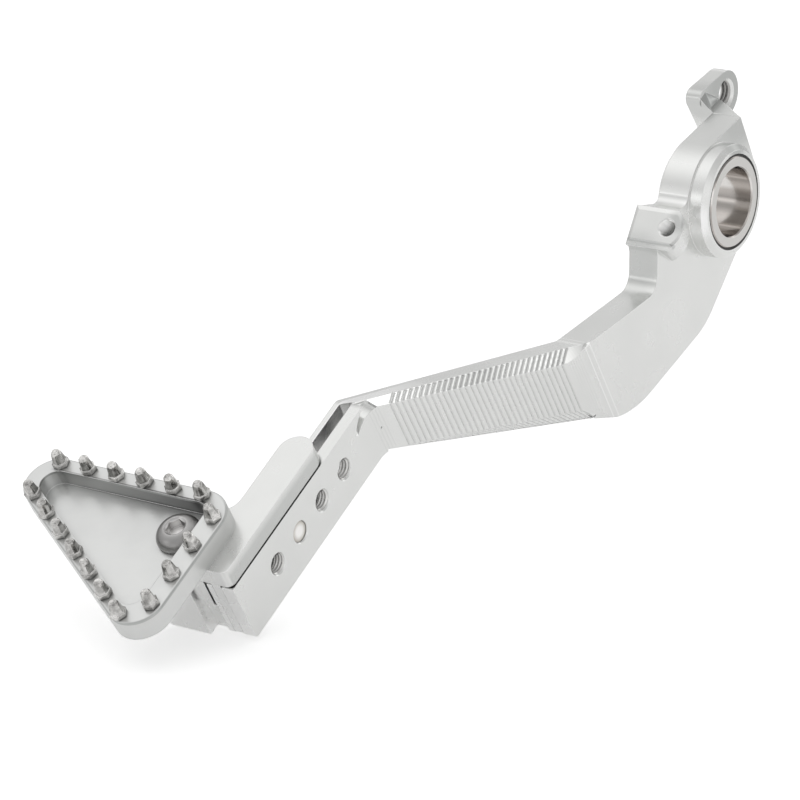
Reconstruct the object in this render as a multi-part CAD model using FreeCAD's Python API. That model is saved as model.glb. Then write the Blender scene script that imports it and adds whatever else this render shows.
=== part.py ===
import FreeCAD, Part
import math
import os

from FreeCAD import Vector as V

os.makedirs("parts", exist_ok=True)

# Rear brake pedal. X runs forward from the pivot to the toe pad, Y points
# inboard and Z up. The pivot axis is Y, and y = 0 is the sleeve's inboard face.
# All lengths are in millimetres.

# driving sizes: pivot
BORE_R = 11.0             # pivot sleeve, inside
SLEEVE_WALL = 3.6
SEAL_W = 0.75             # radial width of a dust seal
BOSS_WALL = 2.85          # boss outside the seals
BOSS_CHAMFER = 1.5
BOSS_PROUD = 6.0          # boss above the plate, inboard side
BOSS_BACK = 1.5           # boss below the plate, outboard side
SLEEVE_PROUD = 0.15       # sleeve past each boss face
SEAL_DEPTH = 1.4
SEAL_INSET = 0.25

# driving sizes: arm
PLATE_T = 10.3            # plate round the pivot
WAIST_DROP = 1.2          # inboard face of waist and tail below the plate's face
PLATE_RIM = 0.7           # plate's round front past the boss
WAIST_TOP = (77.3, -30.6, 0.0724)         # x, z and slope of the waist's upper edge
WAIST_BOTTOM = (50.0, -59.1, 0.16124)     # and of its lower edge
UPPER_CREASE = (89.8, -34.0, 0.10497)     # where the upper chamfer meets the side
LOWER_CREASE = (77.3, -51.4, 0.13355)
TAIL_SLOPE = 31.8         # tail's fall below the horizontal, degrees
TAIL_TOP = 81.5           # tail's upper face, from the pivot across the tail
TAIL_H = 19.4             # height of the tail
TAIL_L = 69.8             # tail's upper face, from the bend to its end
SLOT_GAP = 1.2            # bend to the rear end of the tail's slot
RIM_T = 1.8               # tail's outboard wall
SLOT_W = 3.1              # slot for the carrier's tongue

# driving sizes: adjusting holes and their screw
HOLE_PITCH = 12.0
HOLE_TO_END = 18.0        # last hole to the tail's end
HOLE_LEVEL_DROP = 9.1     # holes below the tail's upper face
HOLE_COUNT = 4
SCREW_HOLE = 2            # the hole in use, counted from 0 at the bend
M6_R = 3.0
M6_CLEAR_R = 3.3

# driving sizes: waist grooves
GROOVE_FIRST = 88.1       # x of the first groove on the upper crease
GROOVE_PITCH = 2.88
GROOVE_DEPTH = 0.34
GROOVE_HALF_W = 0.62
GROOVE_LEAN = 33.5        # from the vertical, degrees

# driving sizes: push-rod ear and stop lug
EAR_STEP = 10.2           # ear's outboard face past the plate's
EAR_T = 5.2
EAR_R = 7.6
EAR_X, EAR_Z = -30.6, 27.2
M8_R = 4.0
LUG_OUT = 8.93            # lug's front face past the plate's round front
LUG_SIDE = -19.53         # lug's middle from the pivot, square to its hole
LUG_Y = -4.5              # height of the lug's hole
LUG_LOW, LUG_HIGH = -6.85, 6.4            # lug's lower and upper sides, from its middle
LUG_HOLE_UP = 0.35        # lug's hole above its middle
LUG_HOLE_DEPTH = 9.0

# driving sizes: pad carrier
CAP_T = 5.7
CAP_GAP = 0.5             # tail's top to the cap's underside
CAP_L = 50.4
NOSE_PROUD = 3.3          # block's front face past the tail's end
BLOCK_GAP = 4.05          # block past the tail's outboard face
BLOCK_W = 13.5
FIT_GAP = 0.1             # tongue to each slot wall

# driving sizes: toe pad
PAD_H = 6.5
PAD_FLOOR = 1.5
SCREW_TO_END = 7.7        # pad's screw to the tail's end
PAD_EDGE = 13.6           # pad's screw to its rear and inboard edges
PAD_FRONT = 28.2          # pad's screw to its front edge
PAD_EDGE_ANGLE = 31.4     # front edge against the pivot axis, degrees
PAD_R = 8.4
PAD_CORNER_R = 10.0
RIM_TOP, RIM_FRONT, RIM_IN = 4.7, 4.4, 6.9
POCKET_R = 4.2

# driving sizes: grip studs
STUD_FLATS = 4.3
STUD_BASE_H = 1.5
STUD_H = 5.3
STUD_SHANK_R = 1.2
STUD_SHANK_L = 4.0

# running and thread gaps
RUN_GAP = 0.05
THREAD_GAP = 0.05

SLEEVE_R = BORE_R + SLEEVE_WALL
SEAL_R = SLEEVE_R + SEAL_W
BOSS_R = SEAL_R + BOSS_WALL
BOSS_BACK_R = BOSS_R - 1.3
FRONT_R = BOSS_R + PLATE_RIM                 # plate's round front, about the pivot
Y_IN = -BOSS_PROUD - SLEEVE_PROUD            # plate's inboard face
Y_OUT = Y_IN - PLATE_T                       # plate's outboard face
Y_TAIL = Y_IN - WAIST_DROP                   # tail's inboard face
Y_RIM = Y_OUT + RIM_T                        # slot's outboard wall
Y_SLOT = Y_RIM + SLOT_W                      # slot's inboard wall
CAP_LOW = TAIL_TOP + CAP_GAP
CAP_TOP = CAP_LOW + CAP_T
TAIL_BOTTOM = TAIL_TOP - TAIL_H
Y_EAR = Y_OUT - EAR_STEP                     # ear's outboard face
Y_RING = Y_EAR + EAR_T                       # ear's inboard face
PAD_TOP = CAP_TOP + PAD_H
POCKET_FLOOR = CAP_TOP + PAD_FLOOR

_a = math.radians(TAIL_SLOPE)
ALONG = V(math.cos(_a), 0, -math.sin(_a))    # down the tail
ACROSS = V(math.sin(_a), 0, math.cos(_a))    # up out of the tail's top and the pad


def meet_tail(line, level):
    """Point where one of the waist's edges meets the tail at that level."""
    x0, z0, slope = line
    x = (level - (z0 - slope * x0) * ACROSS.z) / (ACROSS.x + slope * ACROSS.z)
    return V(x, 0, z0 + slope * (x - x0))


BEND_TOP = meet_tail(WAIST_TOP, TAIL_TOP)
BEND_LOW = meet_tail(WAIST_BOTTOM, TAIL_BOTTOM)
SLOT_START = BEND_TOP.dot(ALONG) + SLOT_GAP
TAIL_END = BEND_TOP.dot(ALONG) + TAIL_L      # from the pivot along the tail
HOLE_FIRST = TAIL_END - HOLE_TO_END - (HOLE_COUNT - 1) * HOLE_PITCH
HOLE_LEVEL = TAIL_TOP - HOLE_LEVEL_DROP
CAP_IN = Y_TAIL - 0.15                       # cap's inboard side
CAP_OUT = Y_OUT - 1.85
CAP_REAR = TAIL_END - CAP_L
BLOCK_IN = Y_OUT - BLOCK_GAP
BLOCK_OUT = BLOCK_IN - BLOCK_W
CARRIER_NOSE = TAIL_END + NOSE_PROUD
PAD_SCREW_S = TAIL_END - SCREW_TO_END
PAD_SCREW_Y = BLOCK_OUT + 7.0
PAD_TOP_S = PAD_SCREW_S - PAD_EDGE           # pad's rear edge
PAD_IN_Y = PAD_SCREW_Y + PAD_EDGE            # pad's inboard edge
_w = math.radians(PAD_EDGE_ANGLE)
PAD_EDGE_DIST = math.cos(_w) * PAD_SCREW_S - math.sin(_w) * PAD_SCREW_Y + PAD_FRONT
LUG_AXIS = V(0.86, 0, 0.5103).normalize()
LUG_UP = V(-LUG_AXIS.z, 0, LUG_AXIS.x)
LUG_FACE = LUG_AXIS * (FRONT_R + LUG_OUT) + LUG_UP * LUG_SIDE + V(0, LUG_Y, 0)


def on_tail(s, y, n):
    """Point at s along the tail, y inboard and n across it."""
    return ALONG * s + ACROSS * n + V(0, y, 0)


def rounded_wire(corners, place):
    """Closed wire through corners (a, b, radius), each rounded by its radius."""
    count = len(corners)
    starts, arcs, ends = [], [], []
    for i in range(count):
        a, b, r = corners[i]
        p = V(a, b, 0)
        q0 = V(corners[i - 1][0], corners[i - 1][1], 0)
        q1 = V(corners[(i + 1) % count][0], corners[(i + 1) % count][1], 0)
        d0, d1 = (q0 - p).normalize(), (q1 - p).normalize()
        if r <= 0:
            starts.append(p), ends.append(p), arcs.append(None)
            continue
        half = d0.getAngle(d1) / 2
        cut = r / math.tan(half)
        mid = p + (d0 + d1).normalize() * (r / math.sin(half) - r)
        starts.append(p + d0 * cut), ends.append(p + d1 * cut), arcs.append(mid)
    edges = []
    for i in range(count):
        if arcs[i] is not None:
            edges.append(Part.Arc(place(starts[i]), place(arcs[i]), place(ends[i])).toShape())
        nxt = starts[(i + 1) % count]
        if (nxt - ends[i]).Length > 1e-4:
            edges.append(Part.makeLine(place(ends[i]), place(nxt)))
    return Part.Wire(edges)


def side_prism(corners, y0, y1):
    """Solid with an X-Z outline, from y0 to y1."""
    wire = rounded_wire(corners, lambda p: V(p.x, y0, p.y))
    return Part.Face(wire).extrude(V(0, y1 - y0, 0))


def tail_prism(corners, y0, y1):
    """Solid with an outline given along and across the tail, from y0 to y1."""
    wire = rounded_wire(corners, lambda p: on_tail(p.x, y0, p.y))
    return Part.Face(wire).extrude(V(0, y1 - y0, 0))


def plan_prism(corners, n0, n1):
    """Solid with an outline (s, y) seen square to the pad, from n0 to n1."""
    wire = rounded_wire(corners, lambda p: on_tail(p.x, p.y, n0))
    return Part.Face(wire).extrude(ACROSS * (n1 - n0))


def rod(base, direction, radius, length):
    return Part.makeCylinder(radius, length, base, direction)


def cone(base, direction, r0, r1, length):
    return Part.makeCone(r0, r1, length, base, direction)


def hole_with_chamfers(centre, direction, radius, length, chamfer):
    """Cutter for a through hole with a chamfer at each mouth."""
    cut = rod(centre - direction * 1.0, direction, radius, length + 2.0)
    cut = cut.fuse(cone(centre - direction * 0.01, direction, radius + chamfer, radius, chamfer))
    far = centre + direction * (length + 0.01)
    return cut.fuse(cone(far, direction * -1, radius + chamfer, radius, chamfer))


def hexagon(centre, direction, flats, turn=0.0):
    """Hexagonal wire round centre, square to direction."""
    side = direction.cross(V(0, 1, 0))
    if side.Length < 0.1:
        side = direction.cross(V(1, 0, 0))
    side.normalize()
    other = direction.cross(side).normalize()
    r = flats / math.sqrt(3)
    points = []
    for k in range(7):
        w = math.radians(60 * k + turn)
        points.append(centre + side * (r * math.cos(w)) + other * (r * math.sin(w)))
    return Part.makePolygon(points)


def plate_outline():
    """Arm seen from the side: pivot plate, stop lug, waist and tail."""
    end_top = on_tail(TAIL_END, 0, TAIL_TOP)
    end_low = on_tail(TAIL_END, 0, TAIL_BOTTOM)
    lean, dip = 18.26, 14.3
    side_x = FRONT_R / math.cos(math.radians(dip))
    lift = FRONT_R / math.cos(math.radians(lean))
    slope, steep = math.tan(math.radians(lean)), math.tan(math.radians(dip))
    corner_z = (lift - slope * side_x) / (1 - slope * steep)
    lug_top = LUG_FACE - LUG_AXIS * 0.65 + LUG_UP * (LUG_HIGH - 0.05)
    lug_low = LUG_FACE - LUG_AXIS * 0.75 + LUG_UP * (LUG_LOW + 0.06)
    return [
        (-13.3, lift + 13.3 * slope, 0.3),      # horn's tip
        (side_x - steep * corner_z, corner_z, FRONT_R),
        (side_x - steep * 1.0, 1.0, 3.8),       # root of the stop lug
        (lug_top.x, lug_top.z, 0),
        (lug_low.x, lug_low.z, 0),
        (lug_low.x - 0.7, lug_low.z - 2.2, 1.0),
        (FRONT_R + 17.0, -22.4, 6.0),
        (WAIST_TOP[0], WAIST_TOP[1], 9.0),
        (BEND_TOP.x, BEND_TOP.z, 4.0),
        (end_top.x, end_top.z, 0.6),
        (end_low.x, end_low.z, 0.6),
        (BEND_LOW.x, BEND_LOW.z, 9.0),
        (WAIST_BOTTOM[0], WAIST_BOTTOM[1], 45.0),
        (5.5, -39.9, 26.0),
        (-12.2, -FRONT_R - 1.5, 12.0),
        (-FRONT_R - 10.4, -2.2, 20.5),          # rear of the pivot plate
    ]


def ear_tangent(x, z, side):
    """Height at the ear's rear of the line from (x, z) that touches its ring."""
    dx, dz = EAR_X - x, EAR_Z - z
    turn = math.asin(EAR_R / math.hypot(dx, dz))
    angle = math.atan2(dz, dx) - side * turn
    return z + (EAR_X - EAR_R - x) * math.tan(angle)


def ear_outline():
    """Push-rod ear seen from the side, with its foot behind the plate."""
    rear = EAR_X - EAR_R
    return [
        (-11.3, 29.5, 3.2),
        (rear, ear_tangent(-11.3, 29.5, 1), EAR_R),
        (rear, ear_tangent(-24.3, 13.7, -1), EAR_R),
        (-24.3, 13.7, 2.5),
    ]


def closed_polygon(points, y):
    corners = [V(x, y, z) for x, z in points]
    return Part.makePolygon(corners + [corners[0]])


def ear_stem():
    """Stem that carries the ear out of the plate and goes on the plate's sloping top."""
    at_ring = [(-22.9, 15.4), (-14.6, 25.5), (-13.9, 28.5), (-16.9, 30.7), (-23.4, 27.6), (-27.0, 19.0)]
    between = [(-22.3, 16.1), (-15.2, 24.7), (-15.0, 25.1), (-17.0, 25.5), (-21.9, 27.1), (-25.0, 18.5)]
    at_back = [(-21.5, 17.1), (-16.0, 23.7), (-14.0, 24.0), (-13.4, 24.28), (-20.2, 26.55), (-23.5, 17.5)]
    at_face = [(-16.5, 15.0), (-14.6, 21.0), (-13.4, 23.6), (-13.2, 24.1), (-13.3, 24.25), (-15.5, 19.5)]
    levels = (Y_RING - 0.4, Y_RING + 2.4, Y_OUT, Y_IN - 0.01)
    rings = [closed_polygon(ring, y) for ring, y in zip((at_ring, between, at_back, at_face), levels)]
    return Part.makeLoft(rings, True, True)


def lug_ring(depth, out_y, low, high, centre_y, radius):
    """Outline of the stop lug at a depth behind its face, with a rounded inboard end."""
    def at(y, t):
        return LUG_FACE - LUG_AXIS * depth + LUG_UP * t + V(0, y - LUG_Y, 0)
    y_low = centre_y + math.sqrt(radius ** 2 - low ** 2)
    y_high = centre_y + math.sqrt(radius ** 2 - high ** 2)
    return Part.Wire([
        Part.makeLine(at(out_y, high), at(out_y, low)), Part.makeLine(at(out_y, low), at(y_low, low)),
        Part.Arc(at(y_low, low), at(centre_y + radius, 0), at(y_high, high)).toShape(),
        Part.makeLine(at(y_high, high), at(out_y, high))])


def stop_lug():
    """Stop lug: a bar across the plate with a chamfered face, a lower lip and a rounded end."""
    face = lug_ring(0, Y_OUT + 0.35, LUG_LOW + 2.0, LUG_HIGH - 1.45, LUG_Y - 1.35, 6.2)
    outer = lug_ring(0.5, Y_OUT - 0.9, LUG_LOW + 1.3, LUG_HIGH, LUG_Y - 2.75, 8.25)
    lip = lug_ring(0.5, Y_OUT - 0.9, LUG_LOW, LUG_HIGH, LUG_Y - 2.75, 8.25)
    back = FRONT_R + LUG_OUT - BOSS_R + 1.7
    root = lug_ring(back, Y_OUT + 0.4, LUG_LOW, LUG_HIGH, LUG_Y - 5.85, 8.25)
    return Part.makeLoft([face, outer], True, True).fuse(Part.makeLoft([lip, root], True, True))


def waist_line(x, level):
    """Height of the waist's four long edges at x."""
    lines = {"top": WAIST_TOP, "upper": UPPER_CREASE, "lower": LOWER_CREASE, "bottom": WAIST_BOTTOM}
    x0, z0, slope = lines[level]
    return z0 + slope * (x - x0)


def waist_edge_y(x, level):
    """Inboard reach of the waist's edges at x."""
    if level in ("upper", "lower"):
        return Y_TAIL
    near, far = (-1.25, -3.65) if level == "top" else (-2.25, -1.25)
    return Y_TAIL + near + (far - near) * (x - 82.0) / (BEND_TOP.x - 92.6)


def waist_chamfer(level, side, x0, x1):
    """Cutter for one long chamfer of the waist, wider at the pivot end."""
    out = 3.0 if side == "top" else -3.0
    rings = []
    for x in (x0, x1):
        edge = V(x, waist_edge_y(x, side), waist_line(x, side))
        face = V(x, Y_TAIL, waist_line(x, level))
        slope = (edge - face).normalize()
        pts = [face - slope * 1.5, edge + slope * 1.5, V(x, Y_IN + 3, edge.z + out)]
        rings.append(Part.makePolygon(pts + [pts[0]]))
    return Part.makeLoft(rings, True, True)


def chamfer_run_out(x, level, side, radius):
    """Conical end of a long chamfer, where it rises to the waist's edge."""
    way = 1 if side == "top" else -1
    face_z, edge_z = waist_line(x, level), waist_line(x, side)
    edge_y = waist_edge_y(x, side)
    fall = abs(edge_z - face_z)
    deep = Y_TAIL - edge_y
    centre = V(x - 1.7 * way, edge_y - deep, face_z + way * radius)
    cut = cone(centre, V(0, 1, 0), radius - 2 * fall, radius, 2 * deep)
    return cut.fuse(rod(V(centre.x, Y_TAIL, centre.z), V(0, 1, 0), radius, 3.0))


def chamfer_hook():
    """Crescent at the bend, where the upper chamfer turns down and fades out."""
    deep, low, x = 3.7, BEND_TOP.z - 8.0, BEND_TOP.x - 6.7
    ring = rod(V(BEND_TOP.x - 8.5, Y_TAIL - deep, low - 0.3), V(0, 1, 0), 11.6, deep + 3)
    core = cone(V(x, Y_TAIL - deep - 0.1, low - 3.3), V(0, 1, 0), 10.5, 9.2, deep + 0.2)
    core = core.fuse(rod(V(x, Y_TAIL, low - 3.3), V(0, 1, 0), 9.2, 4))
    floor = [V(x, Y_TAIL, low), V(x, Y_TAIL - deep, low + 7.0), V(x, Y_TAIL - deep, low + 20),
             V(x, Y_IN + 3, low + 20), V(x, Y_IN + 3, low)]
    floor = Part.Face(Part.makePolygon(floor + [floor[0]])).extrude(V(12, 0, 0))
    return ring.cut(core).common(floor)


def waist_recess():
    """Cutter that drops the waist's and tail's inboard face below the plate."""
    lean = math.radians(GROOVE_LEAN)
    down = V(-math.sin(lean), 0, -math.cos(lean))
    fwd = V(math.cos(lean), 0, -math.sin(lean))
    start = V(WAIST_TOP[0] - 0.2, 0, WAIST_TOP[1] + 0.2) - down * 200
    section = [start + fwd * q + V(0, y, 0) for q, y in
               ((-1.3, Y_IN + 0.001), (1.4, Y_TAIL), (360, Y_TAIL), (360, Y_IN + 7), (-1.3, Y_IN + 7))]
    return Part.Face(Part.makePolygon(section + [section[0]])).extrude(down * 400)


def groove_cutter(start, end, normal, half_width, depth):
    """Straight V cutter from start to end on a face with the given normal."""
    along = (end - start).normalize()
    side = along.cross(normal).normalize()
    lift = 0.5
    wide = half_width * (lift + depth) / depth
    first = start - along * 0.35
    ring = [first - normal * depth, first + normal * lift - side * wide,
            first + normal * lift + side * wide]
    face = Part.Face(Part.makePolygon(ring + [ring[0]]))
    return face.extrude(along * ((end - start).Length + 0.7))


def waist_groove(x):
    """Cutters of one groove: upper chamfer, side and lower chamfer."""
    lean = math.radians(GROOVE_LEAN)
    down = V(-math.sin(lean), 0, -math.cos(lean))
    upper = V(x, Y_TAIL, waist_line(x, "upper"))
    run = 12.0
    for _ in range(20):
        p = upper + down * run
        run += (p.z - waist_line(p.x, "lower")) / math.cos(lean) * 0.9
    lower = upper + down * run
    x_top = x - 4.2 - 0.0233 * (x - 88)
    top = V(x_top, waist_edge_y(x_top, "top"), waist_line(x_top, "top"))
    x_low = lower.x - 11.0 + 0.045 * (x - 88)
    low = V(x_low, waist_edge_y(x_low, "bottom"), waist_line(x_low, "bottom"))
    cuts = [groove_cutter(upper, lower, V(0, 1, 0), GROOVE_HALF_W, GROOVE_DEPTH)]
    for a, b, way in ((top, upper, 1), (lower, low, -1)):
        normal = (b - a).cross(V(1, 0, 0.1)).normalize()
        if normal.y < 0:
            normal = normal * -1
        cuts.append(groove_cutter(a, b, normal, GROOVE_HALF_W, GROOVE_DEPTH * 1.3))
    return cuts


def tail_slot():
    """Cutter for the open slot that takes the carrier's tongue."""
    y0, y1 = Y_RIM, Y_SLOT
    low, high = TAIL_BOTTOM - 2, TAIL_TOP + 2
    body = tail_prism([(SLOT_START, low, 0), (TAIL_END + 2, low, 0),
                       (TAIL_END + 2, high, 0), (SLOT_START, high, 0)], y0, y1)
    point = [on_tail(SLOT_START, y0, low), on_tail(SLOT_START - 2.6, y1, low),
             on_tail(SLOT_START + 0.1, y1, low)]
    wedge = Part.Face(Part.makePolygon(point + [point[0]])).extrude(ACROSS * (high - low))
    lip = [on_tail(SLOT_START - 2.0, y1 - 0.1, TAIL_TOP - 0.6),
           on_tail(SLOT_START - 2.0, y1 + 0.6, TAIL_TOP + 0.1),
           on_tail(SLOT_START - 2.0, y1 - 0.1, TAIL_TOP + 0.1)]
    chamfer = Part.Face(Part.makePolygon(lip + [lip[0]])).extrude(ALONG * (TAIL_END - SLOT_START + 4))
    return body.fuse(wedge).fuse(chamfer)


def adjusting_hole(index):
    """Cutter: thread in the inboard wall, clear hole in the outboard wall."""
    s = HOLE_FIRST + index * HOLE_PITCH
    inward = V(0, -1, 0)
    mouth = on_tail(s, Y_TAIL, HOLE_LEVEL)
    wall = Y_TAIL - Y_SLOT
    cut = hole_with_chamfers(mouth, inward, M6_R, wall, 0.35)
    clear = rod(on_tail(s, Y_RIM + 0.5, HOLE_LEVEL), inward, M6_CLEAR_R, RIM_T + 1.0)
    return cut.fuse(clear)


def lever_arm():
    arm = side_prism(plate_outline(), Y_OUT, Y_IN)
    arm = arm.fuse(side_prism(ear_outline(), Y_EAR, Y_RING))
    arm = arm.fuse([ear_stem(), stop_lug()])
    arm = arm.cut(waist_recess())
    boss_low = Y_OUT - BOSS_BACK
    boss_top = -SLEEVE_PROUD
    boss = rod(V(0, Y_OUT, 0), V(0, 1, 0), BOSS_R, boss_top - BOSS_CHAMFER - Y_OUT)
    boss = boss.fuse(rod(V(0, boss_low, 0), V(0, 1, 0), BOSS_BACK_R, BOSS_BACK + 1))
    boss = boss.fuse(cone(V(0, boss_top - BOSS_CHAMFER, 0), V(0, 1, 0),
                          BOSS_R, BOSS_R - BOSS_CHAMFER * 1.15, BOSS_CHAMFER))
    arm = arm.fuse(boss)
    arm = arm.cut([waist_chamfer("upper", "top", 87.3, BEND_TOP.x - 1.1),
                   waist_chamfer("lower", "bottom", 76.0, BEND_LOW.x - 1.0),
                   chamfer_run_out(87.3, "upper", "top", 17.0),
                   chamfer_run_out(76.0, "lower", "bottom", 30.0), chamfer_hook()])
    grooves, x = [], GROOVE_FIRST
    while x < BEND_TOP.x - 12.2:
        grooves += waist_groove(x)
        x += GROOVE_PITCH
    arm = arm.cut(grooves)
    cuts = [rod(V(0, boss_low - 1, 0), V(0, 1, 0), SLEEVE_R + RUN_GAP, 40)]
    for y, way in ((boss_top, -1), (boss_low, 1)):
        seat = rod(V(0, y + way * (SEAL_DEPTH + SEAL_INSET), 0), V(0, -way, 0), SEAL_R, 5)
        cuts.append(seat)
    cuts.append(tail_slot())
    cuts += [adjusting_hole(k) for k in range(HOLE_COUNT)]
    cuts.append(hole_with_chamfers(V(EAR_X, Y_RING, EAR_Z), V(0, -1, 0), M8_R, EAR_T, 0.85))
    mouth = LUG_FACE + LUG_UP * LUG_HOLE_UP + LUG_AXIS * 3
    cuts.append(rod(mouth, LUG_AXIS * -1, M6_R, LUG_HOLE_DEPTH + 3))
    arm = arm.cut(cuts)
    return arm.removeSplitter()


def pivot_sleeve():
    length = BOSS_PROUD + PLATE_T + BOSS_BACK + 2 * SLEEVE_PROUD
    tube = rod(V(0, -length, 0), V(0, 1, 0), SLEEVE_R, length)
    tube = tube.cut(rod(V(0, -length - 1, 0), V(0, 1, 0), BORE_R, length + 2))
    rims = [e for e in tube.Edges if e.Closed and abs(e.Curve.Radius - SLEEVE_R) < 0.01]
    mouths = [e for e in tube.Edges if e.Closed and abs(e.Curve.Radius - BORE_R) < 0.01]
    return tube.makeChamfer(0.4, mouths + rims)


def dust_seal(y, way):
    """Seal ring in the boss's mouth; way points out of the boss."""
    base = V(0, y - way * (SEAL_INSET + SEAL_DEPTH), 0)
    ring = rod(base, V(0, way, 0), SEAL_R, SEAL_DEPTH)
    return ring.cut(rod(base - V(0, way, 0), V(0, way, 0), SLEEVE_R + RUN_GAP, SEAL_DEPTH + 2))


def pad_carrier():
    nose_s = TAIL_END
    cap = plan_prism([(CAP_REAR, CAP_IN, 5.3), (nose_s, CAP_IN, 2.2), (nose_s, BLOCK_OUT, 0),
                      (nose_s - 14.7, BLOCK_OUT, 6.0), (nose_s - 21.7, CAP_OUT, 6.0),
                      (CAP_REAR, CAP_OUT, 5.3)], CAP_LOW, CAP_TOP)
    foot_n = TAIL_BOTTOM + 1.0
    leg_in = Y_OUT - 1.5
    rear = PAD_SCREW_S - 8.5
    under = [(nose_s - 6.7, foot_n, 2.0), (rear, TAIL_TOP - 7.0, 3.0)]
    block = tail_prism([(rear, CAP_TOP, 0), (CARRIER_NOSE, CAP_TOP, 0), (CARRIER_NOSE, foot_n, 0.5)]
                       + under, BLOCK_OUT, BLOCK_IN)
    web = tail_prism([(rear, CAP_TOP, 0), (nose_s - 0.5, CAP_TOP, 0), (nose_s - 0.5, foot_n, 0)]
                     + under, BLOCK_IN - 1.0, leg_in)
    foot = tail_prism([(nose_s - 5.7, TAIL_TOP - 9.5, 0), (nose_s - 0.5, TAIL_TOP - 9.5, 0),
                       (nose_s - 0.5, foot_n, 0), (nose_s - 5.7, foot_n, 0)], leg_in - 1.0, Y_OUT - 0.02)
    tongue = tail_prism([(CAP_REAR + 4, CAP_TOP - 1, 0), (nose_s, CAP_TOP - 1, 0),
                         (nose_s, TAIL_BOTTOM + 0.8, 0), (CAP_REAR + 12, TAIL_BOTTOM + 0.8, 3.0),
                         (CAP_REAR + 4, TAIL_BOTTOM + 9, 3.0)], Y_RIM + FIT_GAP, Y_SLOT - FIT_GAP)
    body = cap.fuse([block, web, foot, tongue])
    s = HOLE_FIRST + SCREW_HOLE * HOLE_PITCH
    cuts = [rod(on_tail(s, Y_SLOT + 1, HOLE_LEVEL), V(0, -1, 0), M6_CLEAR_R, SLOT_W + 2)]
    depth = 17.0
    top = on_tail(PAD_SCREW_S, PAD_SCREW_Y, CAP_TOP)
    cuts.append(rod(top + ACROSS, ACROSS * -1, M8_R, depth + 1))
    return body.cut(cuts).removeSplitter()


def carrier_screw():
    """Button-head screw from the outboard side into the tail's thread."""
    s = HOLE_FIRST + SCREW_HOLE * HOLE_PITCH
    seat = on_tail(s, Y_OUT, HOLE_LEVEL)
    out = V(0, -1, 0)
    length = (Y_TAIL - 0.5) - Y_OUT
    shank = rod(seat - out * length, out, M6_R - THREAD_GAP, length + 0.5)
    head = rod(seat, out, 5.2, 1.2)
    dome = cone(seat + out * 1.2, out, 5.2, 3.4, 2.0)
    body = shank.fuse([head, dome])
    key = Part.Face(hexagon(seat + out * 3.3, out, 4.0)).extrude(out * -2.0)
    return body.cut(key).removeSplitter()


def pad_corners(rear, front, inner, r_front, r_corner):
    """The pad's three corners, with its edges moved in by the given amounts."""
    w = math.radians(PAD_EDGE_ANGLE)
    cs, sn = math.cos(w), math.sin(w)
    top_s = PAD_TOP_S + rear
    in_y = PAD_IN_Y - inner
    dist = PAD_EDGE_DIST - front
    return [(top_s, in_y, r_corner),
            ((dist + sn * in_y) / cs, in_y, r_front),
            (top_s, (cs * top_s - dist) / sn, r_front)]


def stud_row(start, end, inset, first, last, count):
    """Studs at even steps between two parts of an edge's length, inset from the edge."""
    (s0, y0), (s1, y1) = start, end
    length = math.hypot(s1 - s0, y1 - y0)
    ds, dy = (s1 - s0) / length, (y1 - y0) / length
    spots = []
    for k in range(count):
        d = length * (first + (last - first) * k / (count - 1))
        spots.append((s0 + ds * d + dy * inset, y0 + dy * d - ds * inset))
    return spots


def stud_spots():
    """(s, y) of the grip studs: rear row, inboard row, front row."""
    inner, front, outer = [(s, y) for s, y, r in pad_corners(0, 0, 0, 0, 0)]
    spots = stud_row(inner, outer, -RIM_TOP / 2, 0.1233, 0.6733, 6)
    spots += stud_row(inner, front, 3.3, 0.162, 0.7355, 4)
    return spots + stud_row(outer, front, -RIM_FRONT / 2, 0.297, 0.872, 7)


def toe_pad():
    pad = plan_prism(pad_corners(0, 0, 0, PAD_R, PAD_CORNER_R), CAP_TOP, PAD_TOP)
    rim = [e for e in pad.Edges
           if abs(e.CenterOfMass.dot(ACROSS) - PAD_TOP) < 0.01]
    pad = pad.makeFillet(0.7, rim)
    pocket = plan_prism(pad_corners(RIM_TOP, RIM_FRONT, RIM_IN, POCKET_R, POCKET_R),
                        POCKET_FLOOR, PAD_TOP + 1)
    cuts = [pocket, rod(on_tail(PAD_SCREW_S, PAD_SCREW_Y, CAP_TOP - 1), ACROSS, M8_R + 0.4, 6)]
    for s, y in stud_spots():
        cuts.append(rod(on_tail(s, y, PAD_TOP + 1), ACROSS * -1,
                        STUD_SHANK_R + THREAD_GAP, STUD_SHANK_L + 1.5))
    return pad.cut(cuts).removeSplitter()


def pad_screw():
    """Button-head screw through the pad's floor into the carrier."""
    seat = on_tail(PAD_SCREW_S, PAD_SCREW_Y, POCKET_FLOOR)
    shank = rod(seat - ACROSS * 15, ACROSS, M8_R - THREAD_GAP, 15.5)
    r, h = 6.5, 4.2
    side = V(0, 1, 0)
    pts = [seat, seat + side * (r - 0.4), seat + side * r + ACROSS * 0.4,
           seat + side * r + ACROSS * 1.1]
    top = seat + side * 3.6 + ACROSS * h
    mid = seat + side * 5.6 + ACROSS * 3.0
    edges = [Part.makeLine(pts[0], pts[1]), Part.makeLine(pts[1], pts[2]),
             Part.makeLine(pts[2], pts[3]), Part.Arc(pts[3], mid, top).toShape(),
             Part.makeLine(top, seat + ACROSS * h), Part.makeLine(seat + ACROSS * h, pts[0])]
    head = Part.Face(Part.Wire(edges)).revolve(seat, ACROSS, 360)
    body = head.fuse(shank)
    mouth = seat + ACROSS * (h + 0.01)
    key = Part.Face(hexagon(mouth, ACROSS, 5.0, 12)).extrude(ACROSS * -2.8)
    return body.cut([key, cone(mouth, ACROSS * -1, 3.3, 2.3, 0.8)]).removeSplitter()


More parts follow.
